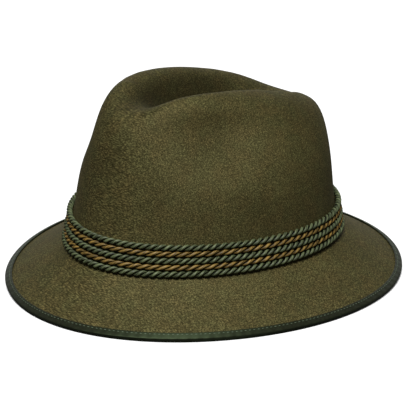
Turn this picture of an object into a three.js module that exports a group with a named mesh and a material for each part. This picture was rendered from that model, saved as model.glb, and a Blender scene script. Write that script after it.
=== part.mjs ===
// Tyrolean hat: a felt crown and brim in one shell, a ribbon folded over the brim's edge, and a hat
// band of five cords.
// Millimetres, +Z up. The brim's edge rests on z = 0, the front faces -Y and the wearer's left is +X.

import * as THREE from 'three';

// Head opening and felt
const HEAD_LENGTH = 201; // inside the crown at the brim's break, front to back
const HEAD_WIDTH = 163.5; // inside the crown at the brim's break, side to side
const HEAD_NARROWING = 0.09; // how much narrower the front of the head opening is than its back
const FELT_THICKNESS = 2;

// Crown
const CROWN_HEIGHT = 110; // from the break to the top before the dents are pressed in
const CROWN_SET_BACK = 7.4; // how far the top stands behind the head opening
const DENT_DEPTH = 31;
const DENT_HALF_WIDTH = 34;
const DENT_START = 0.55; // share of the crown height at which the dent begins
const PINCH_BLEND = 0.25; // share of half the head width over which one pinch turns into the other
const PINCH_PUSH_BACK = 0.5; // backward push of a pinch, as a share of its push inwards

// Brim
const BRIM_REACH_ENDS = 41.7; // outward from the crown at the front and back
const BRIM_REACH_SIDES = 44.7; // outward from the crown at the sides
const BRIM_DROP = 25.9; // from the break down to the felt's edge
const BRIM_NARROWING = 0.08;
const BRIM_HOLLOW = 1.6; // how far the middle of the brim's width sags below a straight slope
const BRIM_BACK_LIFT = 2; // height of the back of the brim's edge above the surface it rests on
const BACK_LIFT_START = 0.5; // where the lift begins, as a share of the way from the middle to the back
const BREAK_ROUND = 4; // felt used on each side to round the fold between crown and brim

// Ribbon folded over the brim's edge
const RIBBON_THICKNESS = 0.8;
const RIBBON_OVERLAP = 4.3; // of the ribbon on the felt, above and below
const FOOT_DEPTH = 0.5; // how much of the ribbon's lower corner is pressed flat where it rests

// Hat band
const GREEN_CORD_DIAMETER = 4.2;
const GOLD_CORD_DIAMETER = 3.8;
const BAND_HEIGHT = 2.8; // centre of the lowest cord above the break

// Gap between pieces that lie against each other
const CLEARANCE = 0.3;

// Fineness of the facets
const FELT_STEPS = 80; // around
const BRIM_BANDS = 4;
const BREAK_BANDS = 3;
const CROWN_BANDS = 14;
const CORD_STEPS = 44; // around the crown
const CORD_SIDES = 8;

// Colours
const FELT_COLOUR = 0x4e492f;
const RIBBON_COLOUR = 0x333b2e;
const GREEN_CORD_COLOUR = 0x5c6b50;
const GOLD_CORD_COLOUR = 0x9a6f33;

// The two pinches, pressed by hand and so not quite alike. Towards +1 is the wearer's left. In
// millimetres: the centre ahead of the middle and above the break, the reach each way along and up
// the crown, and the depth
const PINCHES = [
  { towards: 1, ahead: 37, above: 86, length: 34, rise: 17, depth: 11 },
  { towards: -1, ahead: 46.7, above: 77, length: 25, rise: 15.3, depth: 8 },
];

// Crown sections above the break: height is a share of the crown height, length and width are
// shares of the head opening.
const CROWN_SECTIONS = [
  { height: 0, length: 1, width: 1 },
  { height: 0.18, length: 0.949, width: 0.98 },
  { height: 0.5, length: 0.903, width: 0.935 },
  { height: 0.8, length: 0.902, width: 0.816 },
  { height: 1, length: 0.889, width: 0.804 },
];

// Line of the top from front to back: along is a share of half the head length, rise a share of
// the crown height.
const TOP_LINE = [
  { along: -1, rise: 0.158 },
  { along: -0.76, rise: 0.118 },
  { along: -0.38, rise: 0.061 },
  { along: 0, rise: 0 },
  { along: 0.38, rise: -0.079 },
  { along: 0.76, rise: -0.172 },
  { along: 1, rise: -0.258 },
];

// How square the shoulder is on the way round: turn is a share of half a turn from the front, and
// a squareness of 2 would be a round dome.
const SHOULDERS = [
  { turn: 0, squareness: 5.8 },
  { turn: 0.5, squareness: 4.9 },
  { turn: 1, squareness: 9.2 },
];

// Centre dent from front to back: along is a share of half the head length, depth and width are
// shares of the dent's own.
const CENTRE_DENT = [
  { along: -1.07, depth: 0, width: 0.84 },
  { along: -0.75, depth: 0.22, width: 0.84 },
  { along: -0.47, depth: 0.62, width: 0.86 },
  { along: -0.19, depth: 1, width: 0.96 },
  { along: 0.34, depth: 1, width: 0.96 },
  { along: 0.65, depth: 0.5, width: 0.94 },
  { along: 0.95, depth: 0, width: 0.94 },
];

// The hat band's cords from the top down
const BAND_CORDS = [
  { name: 'cord_1', diameter: GREEN_CORD_DIAMETER, colour: GREEN_CORD_COLOUR },
  { name: 'cord_2', diameter: GOLD_CORD_DIAMETER, colour: GOLD_CORD_COLOUR },
  { name: 'cord_3', diameter: GREEN_CORD_DIAMETER, colour: GREEN_CORD_COLOUR },
  { name: 'cord_4', diameter: GOLD_CORD_DIAMETER, colour: GOLD_CORD_COLOUR },
  { name: 'cord_5', diameter: GREEN_CORD_DIAMETER, colour: GREEN_CORD_COLOUR },
];

// Sizes that follow from those above
const HALF_LENGTH = HEAD_LENGTH / 2 + FELT_THICKNESS;
const HALF_WIDTH = HEAD_WIDTH / 2 + FELT_THICKNESS;
const RIBBON_REACH = CLEARANCE + RIBBON_THICKNESS;
const BRIM_SLOPE = Math.atan2(BRIM_DROP, (BRIM_REACH_ENDS + BRIM_REACH_SIDES) / 2);
const FELT_EDGE_HEIGHT = (FELT_THICKNESS + RIBBON_REACH) * Math.cos(BRIM_SLOPE)
  + RIBBON_REACH * Math.sin(BRIM_SLOPE) - FOOT_DEPTH;
const BREAK_HEIGHT = FELT_EDGE_HEIGHT + BRIM_DROP;

// Value of a table's column at a place along it, on a smooth curve through the rows
function lookUp(rows, along, column, place) {
  let row = 0;
  while (row < rows.length - 2 && place > rows[row + 1][along]) {
    row += 1;
  }
  const slopeAt = (index) => {
    const before = rows[Math.max(index - 1, 0)];
    const after = rows[Math.min(index + 1, rows.length - 1)];
    return (after[column] - before[column]) / (after[along] - before[along]);
  };
  const start = rows[row];
  const end = rows[row + 1];
  const span = end[along] - start[along];
  const share = THREE.MathUtils.clamp((place - start[along]) / span, 0, 1);
  const rest = 1 - share;
  return start[column] * (1 + 2 * share) * rest * rest + end[column] * (3 - 2 * share) * share * share
    + span * (slopeAt(row) * share * rest * rest - slopeAt(row + 1) * share * share * rest);
}

// Point of an egg-shaped oval; the angle runs from the front towards the wearer's left
function ovalPoint(angle, halfLength, halfWidth, narrowing) {
  return new THREE.Vector2(
    halfWidth * Math.sin(angle) * (1 - narrowing * Math.cos(angle)),
    -halfLength * Math.cos(angle),
  );
}

// Crown before its dents: up and out are the shares of the crown height and of the head opening
function domePoint(angle, up, out) {
  const length = HALF_LENGTH * lookUp(CROWN_SECTIONS, 'height', 'length', up) * out;
  const width = HALF_WIDTH * lookUp(CROWN_SECTIONS, 'height', 'width', up) * out;
  const oval = ovalPoint(angle, length, width, HEAD_NARROWING * out);
  const y = oval.y + CROWN_SET_BACK * up * up;
  const rise = lookUp(TOP_LINE, 'along', 'rise', y / HALF_LENGTH) * up * up;
  return new THREE.Vector3(oval.x, y, BREAK_HEIGHT + CROWN_HEIGHT * (up + rise));
}

// Shoulder squareness at an angle
function squarenessAt(angle) {
  const turn = Math.acos(THREE.MathUtils.clamp(Math.cos(angle), -1, 1)) / Math.PI;
  return lookUp(SHOULDERS, 'turn', 'squareness', turn);
}

// Presses the centre dent and the two pinches into a point of the crown
function pressDents(point) {
  const height = (point.z - BREAK_HEIGHT) / CROWN_HEIGHT;
  const along = point.y / HALF_LENGTH;
  const halfWidth = DENT_HALF_WIDTH * lookUp(CENTRE_DENT, 'along', 'width', along);
  const across = Math.min(Math.abs(point.x) / halfWidth, 1);
  const trough = (1 - across * across) ** 2;
  const depth = DENT_DEPTH * Math.max(lookUp(CENTRE_DENT, 'along', 'depth', along), 0);
  const dent = depth * trough * THREE.MathUtils.smoothstep(height, DENT_START, 1);

  const side = Math.tanh(point.x / (PINCH_BLEND * HALF_WIDTH));
  let press = 0;
  for (const pinch of PINCHES) {
    const alongOffset = (point.y + pinch.ahead) / pinch.length;
    const heightOffset = (point.z - BREAK_HEIGHT - pinch.above) / pinch.rise;
    const share = (1 + pinch.towards * side) / 2;
    press += share * pinch.depth * Math.exp(-(alongOffset ** 2) - heightOffset ** 2);
  }

  return new THREE.Vector3(
    point.x - press * side,
    point.y + PINCH_PUSH_BACK * press * Math.abs(side),
    point.z - dent,
  );
}

// Crown surface: the rise angle runs from 0 at the break to a quarter turn at the top's middle
function crownPoint(angle, riseAngle) {
  const power = squarenessAt(angle);
  const up = Math.sin(riseAngle);
  const out = Math.cos(riseAngle);
  const scale = (up ** power + Math.max(out, 0) ** power) ** (-1 / power);
  return pressDents(domePoint(angle, up * scale, Math.max(out, 0) * scale));
}

// Crown surface at a height above the break
function crownWallPoint(angle, height) {
  const power = squarenessAt(angle);
  const up = height / CROWN_HEIGHT;
  return pressDents(domePoint(angle, up, (1 - up ** power) ** (1 / power)));
}

// Top surface of the brim: share runs from 0 at the felt's edge to 1 at the break
function brimPoint(angle, share) {
  const edge = ovalPoint(
    angle,
    HALF_LENGTH + BRIM_REACH_ENDS,
    HALF_WIDTH + BRIM_REACH_SIDES,
    BRIM_NARROWING,
  );
  const inner = ovalPoint(angle, HALF_LENGTH, HALF_WIDTH, HEAD_NARROWING);
  const flat = edge.lerp(inner, share);
  const lift = backLift(angle) * (1 - share);
  const sag = BRIM_HOLLOW * 4 * share * (1 - share);
  return new THREE.Vector3(flat.x, flat.y, FELT_EDGE_HEIGHT + BRIM_DROP * share + lift - sag);
}

// Height of the brim's edge above the surface it rests on; only the back stands clear
function backLift(angle) {
  return BRIM_BACK_LIFT * THREE.MathUtils.smoothstep(-Math.cos(angle), BACK_LIFT_START, 1);
}

// Rings of points up the outside of the felt at one angle, from the brim's edge to the top
function feltMeridian(angle) {
  const brimReach = THREE.MathUtils.lerp(BRIM_REACH_ENDS, BRIM_REACH_SIDES, Math.sin(angle) ** 2);
  const brimTurn = 1 - BREAK_ROUND / Math.hypot(brimReach, BRIM_DROP);
  const crownTurn = Math.atan(BREAK_ROUND / CROWN_HEIGHT);
  const points = [];
  for (let band = 0; band <= BRIM_BANDS; band += 1) {
    points.push(brimPoint(angle, (brimTurn * band) / BRIM_BANDS));
  }
  const fold = new THREE.QuadraticBezierCurve3(
    brimPoint(angle, brimTurn),
    brimPoint(angle, 1),
    crownPoint(angle, crownTurn),
  );
  for (let band = 1; band < BREAK_BANDS; band += 1) {
    points.push(fold.getPoint(band / BREAK_BANDS));
  }
  for (let band = 0; band < CROWN_BANDS; band += 1) {
    points.push(crownPoint(angle, THREE.MathUtils.lerp(crownTurn, Math.PI / 2, band / CROWN_BANDS)));
  }
  return points;
}

// Turn of each of a number of steps around the hat
function turns(steps) {
  return Array.from({ length: steps }, (_, step) => (2 * Math.PI * step) / steps);
}

// Geometry from points and triangles
function meshGeometry(points, triangles) {
  const geometry = new THREE.BufferGeometry();
  geometry.setFromPoints(points);
  geometry.setIndex(triangles);
  geometry.computeVertexNormals();
  return geometry;
}

// Felt skin without thickness: vertex ring * FELT_STEPS + step, and the top's middle last
function feltSkin() {
  const meridians = turns(FELT_STEPS).map(feltMeridian);
  const rings = meridians[0].length;
  const points = [];
  for (let ring = 0; ring < rings; ring += 1) {
    meridians.forEach((meridian) => points.push(meridian[ring]));
  }
  points.push(crownPoint(0, Math.PI / 2));
  const triangles = [];
  for (let ring = 0; ring < rings; ring += 1) {
    for (let step = 0; step < FELT_STEPS; step += 1) {
      const next = (step + 1) % FELT_STEPS;
      const here = ring * FELT_STEPS + step;
      const beside = ring * FELT_STEPS + next;
      if (ring === rings - 1) {
        triangles.push(here, beside, points.length - 1);
      } else {
        triangles.push(here, beside, beside + FELT_STEPS);
        triangles.push(here, beside + FELT_STEPS, here + FELT_STEPS);
      }
    }
  }
  const geometry = meshGeometry(points, triangles);
  const normals = points.map((_, index) => (
    new THREE.Vector3().fromBufferAttribute(geometry.getAttribute('normal'), index)
  ));
  return { points, triangles, normals };
}

// Felt body: the skin, a copy of it set in by the felt's thickness, and a strip along the edge
function feltGeometry(skin) {
  const count = skin.points.length;
  const inside = skin.points.map((point, index) => (
    point.clone().addScaledVector(skin.normals[index], -FELT_THICKNESS)
  ));
  const triangles = [...skin.triangles];
  for (let corner = 0; corner < skin.triangles.length; corner += 3) {
    const [first, second, third] = skin.triangles.slice(corner, corner + 3);
    triangles.push(first + count, third + count, second + count);
  }
  for (let step = 0; step < FELT_STEPS; step += 1) {
    const next = (step + 1) % FELT_STEPS;
    triangles.push(step, step + count, next + count);
    triangles.push(step, next + count, next);
  }
  return meshGeometry([...skin.points, ...inside], triangles);
}

// Closed body through sections that follow one another round the hat; each section's points run
// from its inner side up and over to its outer side
function loopGeometry(sections) {
  const sides = sections[0].length;
  const triangles = [];
  for (let station = 0; station < sections.length; station += 1) {
    const following = (station + 1) % sections.length;
    for (let side = 0; side < sides; side += 1) {
      const beside = (side + 1) % sides;
      const corners = [
        station * sides + side,
        station * sides + beside,
        following * sides + beside,
        following * sides + side,
      ];
      triangles.push(corners[0], corners[1], corners[2]);
      triangles.push(corners[0], corners[2], corners[3]);
    }
  }
  return meshGeometry(sections.flat(), triangles);
}

// Ribbon: a U section around the felt's edge, with a flat foot where its lower corner rests
function ribbonGeometry(skin) {
  const top = RIBBON_REACH;
  const bottom = -FELT_THICKNESS - RIBBON_REACH;
  const sections = turns(FELT_STEPS).map((angle, step) => {
    const edge = skin.points[step];
    const up = skin.normals[step];
    const before = skin.points[(step + FELT_STEPS - 1) % FELT_STEPS];
    const after = skin.points[(step + 1) % FELT_STEPS];
    const along = after.clone().sub(before).normalize();
    const out = along.clone().cross(up).normalize();
    const footHeight = backLift(angle) - edge.z;
    const footOut = (footHeight - bottom * up.z) / out.z;
    const footUp = (footHeight - RIBBON_REACH * out.z) / up.z;
    const profile = [
      [-RIBBON_OVERLAP, CLEARANCE],
      [-RIBBON_OVERLAP, top],
      [RIBBON_REACH - RIBBON_THICKNESS / 2, top],
      [RIBBON_REACH, top - RIBBON_THICKNESS / 2],
      [RIBBON_REACH, footUp],
      [footOut, bottom],
      [-RIBBON_OVERLAP, bottom],
      [-RIBBON_OVERLAP, bottom + RIBBON_THICKNESS],
      [CLEARANCE, bottom + RIBBON_THICKNESS],
      [CLEARANCE, CLEARANCE],
    ];
    return profile.map(([outward, upward]) => (
      edge.clone().addScaledVector(out, outward).addScaledVector(up, upward)
    ));
  });
  return loopGeometry(sections);
}

// Cord laid round the crown, clear of the felt by the named clearance
function cordGeometry(diameter, height) {
  const radius = diameter / 2;
  const chordSag = HALF_LENGTH * (1 - Math.cos(Math.PI / CORD_STEPS));
  const reach = radius + CLEARANCE + chordSag;
  const sections = turns(CORD_STEPS).map((angle) => {
    const wall = crownWallPoint(angle, height);
    const nudge = Math.PI / CORD_STEPS;
    const along = crownWallPoint(angle + nudge, height).sub(crownWallPoint(angle - nudge, height));
    const out = along.normalize().cross(new THREE.Vector3(0, 0, 1)).normalize();
    const centre = wall.addScaledVector(out, reach);
    return turns(CORD_SIDES).map((turn) => (
      centre.clone().addScaledVector(out, -radius * Math.cos(turn))
        .add(new THREE.Vector3(0, 0, radius * Math.sin(turn)))
    ));
  });
  return loopGeometry(sections);
}

// Named mesh with its own plain material
function addPiece(group, name, geometry, colour, roughness) {
  const material = new THREE.MeshStandardMaterial({ color: colour, roughness, metalness: 0 });
  const mesh = new THREE.Mesh(geometry, material);
  mesh.name = name;
  group.add(mesh);
}

const group = new THREE.Group();
const skin = feltSkin();
addPiece(group, 'felt_body', feltGeometry(skin), FELT_COLOUR, 0.95);
addPiece(group, 'brim_binding', ribbonGeometry(skin), RIBBON_COLOUR, 0.6);

// Cords stacked upward from the lowest, each clear of the one below it
let cordHeight = BAND_HEIGHT;
let below = null;
for (const cord of [...BAND_CORDS].reverse()) {
  if (below) {
    cordHeight += (below.diameter + cord.diameter) / 2 + CLEARANCE;
  }
  addPiece(group, cord.name, cordGeometry(cord.diameter, cordHeight), cord.colour, 0.7);
  below = cord;
}

export default group;
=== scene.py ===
"""Tyrolean hat of mottled olive felt, with a ribbon-bound brim and a band of five twisted cords."""

import math

import bpy
from mathutils import Matrix, Vector


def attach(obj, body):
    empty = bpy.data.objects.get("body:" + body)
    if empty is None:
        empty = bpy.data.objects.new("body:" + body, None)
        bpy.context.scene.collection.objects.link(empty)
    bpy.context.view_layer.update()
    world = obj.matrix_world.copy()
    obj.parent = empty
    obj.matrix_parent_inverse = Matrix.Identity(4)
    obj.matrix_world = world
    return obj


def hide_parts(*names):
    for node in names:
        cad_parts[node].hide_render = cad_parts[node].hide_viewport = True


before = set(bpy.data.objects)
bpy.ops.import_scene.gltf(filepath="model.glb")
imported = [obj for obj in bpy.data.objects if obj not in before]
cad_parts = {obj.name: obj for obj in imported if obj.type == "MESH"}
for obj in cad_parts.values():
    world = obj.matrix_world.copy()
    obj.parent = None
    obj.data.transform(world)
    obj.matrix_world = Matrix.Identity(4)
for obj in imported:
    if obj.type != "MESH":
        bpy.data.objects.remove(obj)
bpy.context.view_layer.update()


# The view: the hat stands on its brim in a white studio, seen from its front left and a little
# above, through a long lens. The floor is a wide pale sweep.

MM = 0.001
VIEW_TURN = math.radians(44)
VIEW_RISE = math.radians(20.17)
VIEW_ROLL = math.radians(0.957)
VIEW_DISTANCE = 1717 * MM
AIM_RIGHT = 2.0 * MM
AIM_HEIGHT = 46.9 * MM
IMAGE_SIDE = 408
FOCAL_PIXELS = 2489.5

bpy.ops.object.select_all(action="DESELECT")
back = Vector((
    math.sin(VIEW_TURN) * math.cos(VIEW_RISE),
    -math.cos(VIEW_TURN) * math.cos(VIEW_RISE),
    math.sin(VIEW_RISE),
))
level = Vector((math.cos(VIEW_TURN), math.sin(VIEW_TURN), 0))
upright = back.cross(level)
right = level * math.cos(VIEW_ROLL) + upright * math.sin(VIEW_ROLL)
up = upright * math.cos(VIEW_ROLL) - level * math.sin(VIEW_ROLL)
place = level * AIM_RIGHT + Vector((0, 0, AIM_HEIGHT)) + back * VIEW_DISTANCE
bpy.ops.object.camera_add()
camera = bpy.context.object
camera.name = "camera"
camera.matrix_world = Matrix.Translation(place) @ Matrix((right, up, back)).transposed().to_4x4()
camera.data.sensor_width = 36
camera.data.lens = camera.data.sensor_width * FOCAL_PIXELS / IMAGE_SIDE
camera.data.clip_start = 0.05
bpy.context.scene.camera = camera
bpy.context.scene.view_settings.view_transform = "Standard"


def linear(hex_colour):
    """Linear colour from an sRGB hex value such as 0x4e492f."""
    shares = [((hex_colour >> shift) & 255) / 255 for shift in (16, 8, 0)]
    return tuple(s / 12.92 if s <= 0.04045 else ((s + 0.055) / 1.055) ** 2.4 for s in shares) + (1,)


def add_node(material, kind, settings=None, **links):
    """Adds a node to a material. Links are sockets by name, given as values or as other sockets."""
    node = material.node_tree.nodes.new(kind)
    for name, value in (settings or {}).items():
        setattr(node, name, value)
    for name, value in links.items():
        socket = next(
            s for s in node.inputs if s.enabled and name in (s.identifier, s.name.replace(" ", "_"))
        )
        if isinstance(value, bpy.types.NodeSocket):
            material.node_tree.links.new(value, socket)
        else:
            socket.default_value = value
    return node


def new_material(name):
    """Material with only its shader, and that shader."""
    material = bpy.data.materials.new(name)
    material.use_nodes = True
    return material, material.node_tree.nodes["Principled BSDF"]


bpy.ops.mesh.primitive_plane_add(size=8, location=(0, 0, 0))
floor = bpy.context.object
floor.name = "studio_floor"
paper, paper_shader = new_material("white paper sweep")
paper_shader.inputs["Base Color"].default_value = linear(0xffffff)
paper_shader.inputs["Roughness"].default_value = 0.9
paper_shader.inputs["Emission Color"].default_value = linear(0xffffff)
paper_shader.inputs["Emission Strength"].default_value = 0.05  # the sweep is lit to pure white
floor.data.materials.append(paper)
floor.visible_diffuse = False  # the white floor throws no light up at the hat
floor.visible_glossy = False

AMBIENT = 0.08

world = bpy.data.worlds.new("studio")
world.use_nodes = True
glow = world.node_tree.nodes["Background"]
rays = world.node_tree.nodes.new("ShaderNodeLightPath")
level_of_light = world.node_tree.nodes.new("ShaderNodeMapRange")
level_of_light.inputs["To Min"].default_value = AMBIENT
world.node_tree.links.new(rays.outputs["Is Camera Ray"], level_of_light.inputs["Value"])
world.node_tree.links.new(level_of_light.outputs["Result"], glow.inputs["Strength"])
glow.inputs["Color"].default_value = linear(0xffffff)
bpy.context.scene.world = world


def add_lamp(name, turn, rise, softness, power):
    """Distant soft lamp from a turn round the hat and a rise above the floor."""
    turn, rise = math.radians(turn), math.radians(rise)
    away = Vector((math.sin(turn) * math.cos(rise), -math.cos(turn) * math.cos(rise), math.sin(rise)))
    bpy.ops.object.light_add(type="SUN", location=away)
    lamp = bpy.context.object
    lamp.name = name
    lamp.rotation_euler = away.to_track_quat("Z", "Y").to_euler()
    lamp.data.angle = math.radians(softness)
    lamp.data.energy = power


add_lamp("key_lamp", turn=38, rise=57, softness=20, power=4.0)
add_lamp("back_lamp", turn=224, rise=16, softness=60, power=0.38)


# The felt: a wool felt hood blocked into one crown and brim, with a centre dent along the top and
# a pinch at each side of the front. It is one solid shell of felt with a short soft nap, spun
# from light and dark wool, so it is olive with fine flecks.

def dressed_copy(node, name):
    """Copy of a CAD node with its loose triangles joined into a closed mesh of quads."""
    bpy.ops.object.select_all(action="DESELECT")
    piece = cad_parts[node].copy()
    piece.data = piece.data.copy()
    bpy.context.collection.objects.link(piece)
    piece.name = name
    piece.data.name = name
    piece.data.materials.clear()
    piece.hide_render = False
    piece.select_set(True)
    bpy.context.view_layer.objects.active = piece
    bpy.ops.object.mode_set(mode="EDIT")
    bpy.ops.mesh.select_all(action="SELECT")
    bpy.ops.mesh.remove_doubles(threshold=1e-5)
    bpy.ops.mesh.tris_convert_to_quads(face_threshold=math.radians(40), shape_threshold=math.radians(60))
    bpy.ops.object.mode_set(mode="OBJECT")
    return piece


def subdivide(piece, levels):
    """Smooths a piece with a subdivision surface and makes it part of the mesh."""
    bpy.context.view_layer.objects.active = piece
    smooth = piece.modifiers.new("smooth", "SUBSURF")
    smooth.levels = levels
    smooth.render_levels = levels
    bpy.ops.object.modifier_apply(modifier=smooth.name)
    bpy.ops.object.shade_smooth()


def finish_piece(piece, material, node):
    """Gives a piece its material, hangs it on the hat's root body and hides the CAD node it stands for."""
    piece.data.materials.clear()
    piece.data.materials.append(material)
    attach(piece, "root")
    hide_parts(node)


FELT_DARK = 0x0f0e05
FELT_MID = 0x2c2813
FELT_LIGHT = 0x665e39
GLOSS_DARK = 0xa89e66  # the soft gloss of the dark and light hairs
GLOSS_LIGHT = 0xfff5b8
FLECK = 1.0 * MM
FIBRE_LENGTH = 2.4 * MM
FIBRE_WIDTH = 0.56 * MM
FELT_PATCH = 28 * MM
NAP_HEIGHT = 0.25 * MM
# The dyes of the mixed wools, as a tint over the felt: browner in some patches, greener in others
DYE_PATCH = 11 * MM
DYE_BROWN = 0xfff6ea
DYE_GREEN = 0xf2fcf2
# Painted shade in the centre dent: inside an ellipsoid round the dent, the felt's colour and gloss are
# darkened, most in its middle
DENT_MIDDLE = (-10 * MM, 0, 122 * MM)
DENT_SIZE = (30 * MM, 95 * MM, 30 * MM)
DENT_PAINTED_SHADE = 0.42

felt = dressed_copy("felt_body", "felt_crown_and_brim")
subdivide(felt, 2)

wool_felt, shader = new_material("mottled olive wool felt")
spot = add_node(wool_felt, "ShaderNodeTexCoord").outputs["Object"]
fleck = add_node(
    wool_felt, "ShaderNodeTexNoise", Vector=spot, Scale=1 / FLECK, Detail=2.0, Roughness=0.6,
).outputs["Fac"]
fibres = 0.0
for turn in ((0, 0, 0.5), (0.9, 0.4, 2.2), (2.0, 1.1, 0.2), (0.4, 1.3, 1.0), (1.5, 0.3, 2.8)):
    laid = add_node(
        wool_felt, "ShaderNodeMapping", Vector=spot, Rotation=turn,
        Scale=(1 / FIBRE_LENGTH, 1 / FIBRE_WIDTH, 1 / FIBRE_WIDTH),
    ).outputs["Vector"]
    stroke = add_node(
        wool_felt, "ShaderNodeTexNoise", Vector=laid, Scale=1.0, Detail=1.0, Roughness=0.5,
    ).outputs["Fac"]
    fibres = add_node(
        wool_felt, "ShaderNodeMath", {"operation": "ADD"}, Value=fibres, Value_001=stroke,
    ).outputs["Value"]
patch = add_node(
    wool_felt, "ShaderNodeTexNoise", Vector=spot, Scale=1 / FELT_PATCH, Detail=2.0, Roughness=0.5,
).outputs["Fac"]
mottle = add_node(
    wool_felt, "ShaderNodeMath", {"operation": "MULTIPLY_ADD"}, Value=fibres, Value_001=1.0, Value_002=fleck,
).outputs["Value"]
tone = add_node(
    wool_felt, "ShaderNodeMath", {"operation": "MULTIPLY_ADD"}, Value=patch, Value_001=0.3, Value_002=mottle,
).outputs["Value"]
ramp = add_node(
    wool_felt, "ShaderNodeMapRange", Value=tone, From_Min=2.52, From_Max=3.74,
).outputs["Result"]
wool_colour = add_node(wool_felt, "ShaderNodeValToRGB", Fac=ramp)
wool_colour.color_ramp.elements[0].color = linear(FELT_DARK)
wool_colour.color_ramp.elements[1].color = linear(FELT_LIGHT)
wool_colour.color_ramp.elements.new(0.5).color = linear(FELT_MID)
hair_gloss = add_node(wool_felt, "ShaderNodeValToRGB", Fac=ramp)
hair_gloss.color_ramp.elements[0].color = linear(GLOSS_DARK)
hair_gloss.color_ramp.elements[1].color = linear(GLOSS_LIGHT)
nap = add_node(
    wool_felt, "ShaderNodeBump", Height=mottle, Strength=0.15, Distance=NAP_HEIGHT,
).outputs["Normal"]
dent_shape = add_node(
    wool_felt, "ShaderNodeMapping", Vector=spot,
    Scale=[1 / size for size in DENT_SIZE],
    Location=[-middle / size for middle, size in zip(DENT_MIDDLE, DENT_SIZE)],
).outputs["Vector"]
inside_dent = add_node(
    wool_felt, "ShaderNodeTexGradient", {"gradient_type": "SPHERICAL"}, Vector=dent_shape,
).outputs["Fac"]
# Painted shade in the dent: the share of colour and gloss kept, 1 outside the ellipsoid and smoothly less
# towards its middle
dent_painted_shade = add_node(
    wool_felt, "ShaderNodeMapRange", {"interpolation_type": "SMOOTHSTEP"}, Value=inside_dent,
    From_Max=0.55, To_Min=1.0, To_Max=DENT_PAINTED_SHADE,
).outputs["Result"]
dye = add_node(
    wool_felt, "ShaderNodeTexNoise", Vector=spot, Scale=1 / DYE_PATCH, Detail=2.0, Roughness=0.5,
).outputs["Fac"]
dye_tint = add_node(wool_felt, "ShaderNodeValToRGB", Fac=dye)
dye_tint.color_ramp.elements[0].position = 0.35
dye_tint.color_ramp.elements[0].color = linear(DYE_BROWN)
dye_tint.color_ramp.elements[1].position = 0.65
dye_tint.color_ramp.elements[1].color = linear(DYE_GREEN)
dyed = add_node(
    wool_felt, "ShaderNodeVectorMath", {"operation": "MULTIPLY"},
    Vector=wool_colour.outputs["Color"], Vector_001=dye_tint.outputs["Color"],
).outputs["Vector"]
felt_colour = add_node(
    wool_felt, "ShaderNodeVectorMath", {"operation": "SCALE"}, Vector=dyed, Scale=dent_painted_shade,
).outputs["Vector"]
# The dent's painted shade darkens the gloss as well
gloss_colour = add_node(
    wool_felt, "ShaderNodeVectorMath", {"operation": "SCALE"},
    Vector=hair_gloss.outputs["Color"], Scale=dent_painted_shade,
).outputs["Vector"]
wool_felt.node_tree.links.new(felt_colour, shader.inputs["Base Color"])
wool_felt.node_tree.links.new(gloss_colour, shader.inputs["Specular Tint"])
wool_felt.node_tree.links.new(nap, shader.inputs["Normal"])
shader.inputs["Roughness"].default_value = 0.75
shader.inputs["Specular IOR Level"].default_value = 1.0
finish_piece(felt, wool_felt, "felt_body")


# The binding: a dark green rayon ribbon with fine cross ribs, folded over the brim's edge and
# pulled snug, so that it shows an even border above and below.

RIBBON_DARK = 0x15160f
RIBBON_LIGHT = 0x22241a
RIBBON_GLOSS = 0xb4d49c
RIBBON_LENGTH = 865 * MM
RIB_PITCH = 1.2 * MM
RIB_HEIGHT = 0.1 * MM
RIBBON_CREASE = 0.55

binding = dressed_copy("brim_binding", "brim_ribbon")
bpy.ops.object.mode_set(mode="EDIT")
bpy.ops.mesh.select_mode(type="EDGE")
bpy.ops.mesh.select_all(action="DESELECT")
bpy.ops.mesh.edges_select_sharp(sharpness=math.radians(25))
bpy.ops.transform.edge_crease(value=RIBBON_CREASE)
bpy.ops.object.mode_set(mode="OBJECT")
subdivide(binding, 2)

ribbon, shader = new_material("ribbed rayon ribbon")
spot = add_node(ribbon, "ShaderNodeTexCoord").outputs["Object"]
split = add_node(ribbon, "ShaderNodeSeparateXYZ", Vector=spot)
around = add_node(
    ribbon, "ShaderNodeMath", {"operation": "ARCTAN2"}, Value=split.outputs["Y"], Value_001=split.outputs["X"],
).outputs["Value"]
ribs_each_radian = round(RIBBON_LENGTH / RIB_PITCH / (2 * math.pi))
rib = add_node(
    ribbon, "ShaderNodeMath", {"operation": "MULTIPLY"}, Value=around, Value_001=float(ribs_each_radian),
).outputs["Value"]
ridge = add_node(ribbon, "ShaderNodeMath", {"operation": "SINE"}, Value=rib).outputs["Value"]
rib_bump = add_node(
    ribbon, "ShaderNodeBump", Height=ridge, Strength=0.6, Distance=RIB_HEIGHT,
).outputs["Normal"]
weave = add_node(
    ribbon, "ShaderNodeTexNoise", Vector=spot, Scale=1 / (2 * MM), Detail=3.0, Roughness=0.6,
).outputs["Fac"]
ramp = add_node(ribbon, "ShaderNodeValToRGB", Fac=weave)
ramp.color_ramp.elements[0].position = 0.3
ramp.color_ramp.elements[0].color = linear(RIBBON_DARK)
ramp.color_ramp.elements[1].position = 0.7
ramp.color_ramp.elements[1].color = linear(RIBBON_LIGHT)
ribbon.node_tree.links.new(ramp.outputs["Color"], shader.inputs["Base Color"])
ribbon.node_tree.links.new(rib_bump, shader.inputs["Normal"])
# The shiny threads run along the ribbon, so it gleams across them and is dark seen end on
ribbon.node_tree.links.new(spot, shader.inputs["Tangent"])
shader.inputs["Anisotropic"].default_value = 0.72
shader.inputs["Roughness"].default_value = 0.56
shader.inputs["Specular IOR Level"].default_value = 0.62
shader.inputs["Specular Tint"].default_value = linear(RIBBON_GLOSS)
finish_piece(binding, ribbon, "brim_binding")


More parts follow.
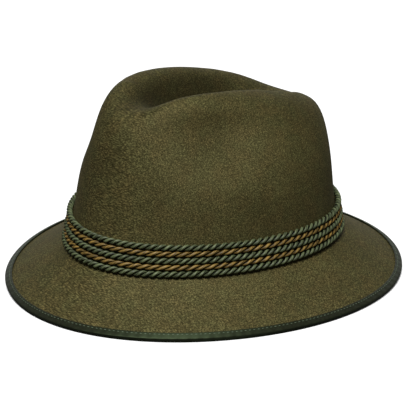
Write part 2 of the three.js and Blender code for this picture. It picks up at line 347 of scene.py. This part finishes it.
# The stitches: one row of machine stitches in light green thread, just inside the ribbon's inner
# edge, goes through ribbon, felt and ribbon, so it shows above and below the brim.

STITCH_PITCH = 3.0 * MM
STITCH_LENGTH = 1.7 * MM
THREAD_THICKNESS = 0.45 * MM
STITCH_INSET = 1.5 * MM


def loop_sections(node, count):
    """Sections of a CAD loop, each a list of points, in their order round the hat."""
    spots = {tuple(round(c, 7) for c in v.co): Vector(v.co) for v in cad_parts[node].data.vertices}
    points = sorted(spots.values(), key=lambda p: math.atan2(p.y, p.x))
    turns = [math.atan2(p.y, p.x) for p in points]
    gaps = [(turns[i] - turns[i - 1]) % (2 * math.pi) for i in range(len(points))]
    start = gaps.index(max(gaps))
    points = points[start:] + points[:start]
    size = len(points) // count
    return [points[i * size:(i + 1) * size] for i in range(count)]


def closed_curve(name, points):
    """Smooth closed curve through points."""
    curve = bpy.data.curves.new(name, "CURVE")
    curve.dimensions = "3D"
    curve.twist_mode = "Z_UP"
    spline = curve.splines.new("BEZIER")
    spline.bezier_points.add(len(points) - 1)
    for knot, point in zip(spline.bezier_points, points):
        knot.co = point
        knot.handle_left_type = knot.handle_right_type = "AUTO"
    spline.use_cyclic_u = True
    spline.resolution_u = 16
    guide = bpy.data.objects.new(name, curve)
    bpy.context.collection.objects.link(guide)
    return guide, spline.calc_length()


def wrap_round(piece, guide, step, count):
    """Repeats a piece along its X axis, count times, a step apart."""
    bpy.ops.object.select_all(action="DESELECT")
    piece.select_set(True)
    bpy.context.view_layer.objects.active = piece
    row = piece.modifiers.new("row", "ARRAY")
    row.use_relative_offset = False
    row.use_constant_offset = True
    row.constant_offset_displace = (step, 0, 0)
    row.count = count
    row.use_merge_vertices = True
    row.merge_threshold = step * 1e-3
    bpy.ops.object.modifier_apply(modifier=row.name)


def lay_along(piece, guide):
    """Bends a straight piece round a closed curve and closes its seam."""
    bend = piece.modifiers.new("bend", "CURVE")
    bend.object = guide
    bend.deform_axis = "POS_X"
    bpy.context.view_layer.objects.active = piece
    bpy.ops.object.modifier_apply(modifier=bend.name)
    bpy.ops.object.mode_set(mode="EDIT")
    bpy.ops.mesh.select_all(action="SELECT")
    bpy.ops.mesh.remove_doubles(threshold=5e-5)
    bpy.ops.object.mode_set(mode="OBJECT")
    bpy.data.objects.remove(guide)


def stitch_row(name, points):
    """Row of stitches along a closed line."""
    guide, length = closed_curve(name + "_line", points)
    count = round(length / STITCH_PITCH)
    bpy.ops.object.select_all(action="DESELECT")
    bpy.ops.mesh.primitive_uv_sphere_add(segments=8, ring_count=6, radius=0.5)
    piece = bpy.context.object
    piece.name = name
    piece.scale = (STITCH_LENGTH, THREAD_THICKNESS, THREAD_THICKNESS)
    bpy.ops.object.transform_apply(location=True, rotation=True, scale=True)
    bpy.ops.object.shade_smooth()
    wrap_round(piece, guide, length / count, count)
    lay_along(piece, guide)
    return piece


upper_line = []
lower_line = []
for section in loop_sections("brim_binding", 80):
    heights = sorted(section, key=lambda p: -p.z)
    inner, outer = heights[0], heights[2]
    upper_line.append(inner + (outer - inner).normalized() * STITCH_INSET)
    below = min(section, key=lambda p: p.xy.length)
    foot = min(heights[-2:], key=lambda p: p.xy.length)
    lower_line.append(below + (foot - below).normalized() * STITCH_INSET)

thread, shader = new_material("light green polyester thread")
spot = add_node(thread, "ShaderNodeTexCoord").outputs["Object"]
ply = add_node(thread, "ShaderNodeTexNoise", Vector=spot, Scale=1 / (0.6 * MM), Detail=2.0).outputs["Fac"]
ramp = add_node(thread, "ShaderNodeValToRGB", Fac=ply)
ramp.color_ramp.elements[0].color = linear(0x37442f)
ramp.color_ramp.elements[1].color = linear(0x74856a)
thread.node_tree.links.new(ramp.outputs["Color"], shader.inputs["Base Color"])
shader.inputs["Roughness"].default_value = 0.5
for name, line in (("stitches_above", upper_line), ("stitches_below", lower_line)):
    row = stitch_row(name, line)
    row.data.materials.append(thread)
    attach(row, "root")


# The hat band: five cords, each of two strands of glossy rayon yarn twisted together, laid one
# above the other round the foot of the crown and sewn down out of sight. Three are green and two
# are gold.

CORD_SECTIONS = 44
STRANDS = 2
PROFILE_STEPS = 24
STEPS_PER_STRAND = 12
# How far each point of a strand's outline stands out, from its crest to the groove beside it
STRAND_PROFILE = (1.0, 0.985, 0.93, 0.83, 0.68, 0.5, 0.36)

CORDS = (
    {"node": "cord_1", "kind": "green", "diameter": 4.2 * MM, "pitch": 10.3 * MM},
    {"node": "cord_2", "kind": "gold", "diameter": 3.8 * MM, "pitch": 13 * MM},
    {"node": "cord_3", "kind": "green", "diameter": 4.2 * MM, "pitch": 10.3 * MM},
    {"node": "cord_4", "kind": "gold", "diameter": 3.8 * MM, "pitch": 13 * MM},
    {"node": "cord_5", "kind": "green", "diameter": 4.2 * MM, "pitch": 10.3 * MM},
)


def twisted_cord(name, diameter, pitch, points):
    """Closed cord of twisted strands along a closed line."""
    guide, length = closed_curve(name + "_line", points)
    count = round(STRANDS * length / pitch)
    step = length / count
    bpy.ops.object.select_all(action="DESELECT")
    bpy.ops.mesh.primitive_circle_add(vertices=PROFILE_STEPS, radius=diameter / 2)
    piece = bpy.context.object
    piece.name = name
    bpy.ops.object.mode_set(mode="EDIT")
    bpy.ops.mesh.select_mode(type="VERT")
    per_strand = PROFILE_STEPS // STRANDS
    for away, reach in enumerate(STRAND_PROFILE):
        bpy.ops.mesh.select_all(action="DESELECT")
        bpy.ops.object.mode_set(mode="OBJECT")
        for index, vertex in enumerate(piece.data.vertices):
            offset = index % per_strand
            vertex.select = min(offset, per_strand - offset) == away
        bpy.ops.object.mode_set(mode="EDIT")
        bpy.ops.transform.resize(value=(reach, reach, 1), center_override=(0, 0, 0))
    bpy.ops.object.mode_set(mode="OBJECT")
    # How far out each point of the outline stands, as a share of the radius; the yarn paints shade into the
    # grooves from it
    crest = piece.data.attributes.new("crest", "FLOAT", "POINT")
    for vertex in piece.data.vertices:
        crest.data[vertex.index].value = vertex.co.length / (diameter / 2)
    twist = piece.modifiers.new("twist", "SCREW")
    twist.angle = -2 * math.pi / STRANDS
    twist.screw_offset = step
    twist.steps = twist.render_steps = STEPS_PER_STRAND
    twist.use_merge_vertices = False
    bpy.ops.object.modifier_apply(modifier=twist.name)
    piece.rotation_euler = (0, math.pi / 2, 0)
    bpy.ops.object.transform_apply(location=True, rotation=True, scale=True)
    wrap_round(piece, guide, step, count)
    straight = piece.data.attributes.new("straight", "FLOAT_VECTOR", "POINT")
    for vertex in piece.data.vertices:
        along = vertex.co.x
        turn = along / step * 2 * math.pi / STRANDS
        straight.data[vertex.index].vector = Matrix.Rotation(turn, 3, "X") @ vertex.co
    lay_along(piece, guide)
    bpy.ops.object.shade_smooth()
    bpy.ops.object.mode_set(mode="EDIT")
    bpy.ops.mesh.select_all(action="SELECT")
    bpy.ops.mesh.normals_make_consistent(inside=False)
    bpy.ops.object.mode_set(mode="OBJECT")
    return piece


YARN_GLOSS = 0.4
# Bundles of filaments, drawn coarser than real: single ones are some 0.05 mm thick
FILAMENT_SIZE = (5 * MM, 0.6 * MM, 0.6 * MM)


def yarn(name, shade, glow):
    """Glossy rayon yarn: fine filaments run along each strand, and painted shade darkens the colour and gloss
    in the grooves between strands.
    """
    material, shader = new_material(name)
    straight = add_node(
        material, "ShaderNodeAttribute", {"attribute_name": "straight"},
    ).outputs["Vector"]
    drawn = add_node(
        material, "ShaderNodeMapping", Vector=straight, Scale=[1 / size for size in FILAMENT_SIZE],
    ).outputs["Vector"]
    filaments = add_node(
        material, "ShaderNodeTexNoise", Vector=drawn, Scale=1.0, Detail=2.0, Roughness=0.6,
    ).outputs["Fac"]
    ramp = add_node(material, "ShaderNodeValToRGB", Fac=filaments)
    ramp.color_ramp.elements[0].position = 0.4
    ramp.color_ramp.elements[0].color = linear(shade)
    ramp.color_ramp.elements[1].position = 0.6
    ramp.color_ramp.elements[1].color = linear(glow)
    crest = add_node(material, "ShaderNodeAttribute", {"attribute_name": "crest"}).outputs["Fac"]
    # Painted shade: the yarn's colour goes to black towards the grooves between strands
    groove_painted_shade = add_node(
        material, "ShaderNodeMapRange", Value=crest, From_Min=0.48, From_Max=0.9, To_Min=0.0, To_Max=1.0,
    ).outputs["Result"]
    colour_with_painted_shade = add_node(
        material, "ShaderNodeVectorMath", {"operation": "SCALE"}, Vector=ramp.outputs["Color"], Scale=groove_painted_shade,
    ).outputs["Vector"]
    bump = add_node(
        material, "ShaderNodeBump", Height=filaments, Strength=0.5, Distance=0.12 * MM,
    ).outputs["Normal"]
    material.node_tree.links.new(colour_with_painted_shade, shader.inputs["Base Color"])
    material.node_tree.links.new(bump, shader.inputs["Normal"])
    shader.inputs["Roughness"].default_value = 0.5
    # Painted shade on the gloss too: it fades to nothing towards the grooves
    gloss = add_node(
        material, "ShaderNodeMath", {"operation": "MULTIPLY"}, Value=groove_painted_shade, Value_001=YARN_GLOSS,
    ).outputs["Value"]
    material.node_tree.links.new(gloss, shader.inputs["Specular IOR Level"])
    return material


YARNS = {
    "green": yarn("green rayon yarn", 0x22281a, 0x68724e),
    "gold": yarn("gold rayon yarn", 0x413416, 0x94783a),
}

for cord in CORDS:
    middles = [
        sum(section, Vector()) / len(section) for section in loop_sections(cord["node"], CORD_SECTIONS)
    ]
    rope = twisted_cord("twisted_" + cord["node"], cord["diameter"], cord["pitch"], middles)
    finish_piece(rope, YARNS[cord["kind"]], cord["node"])
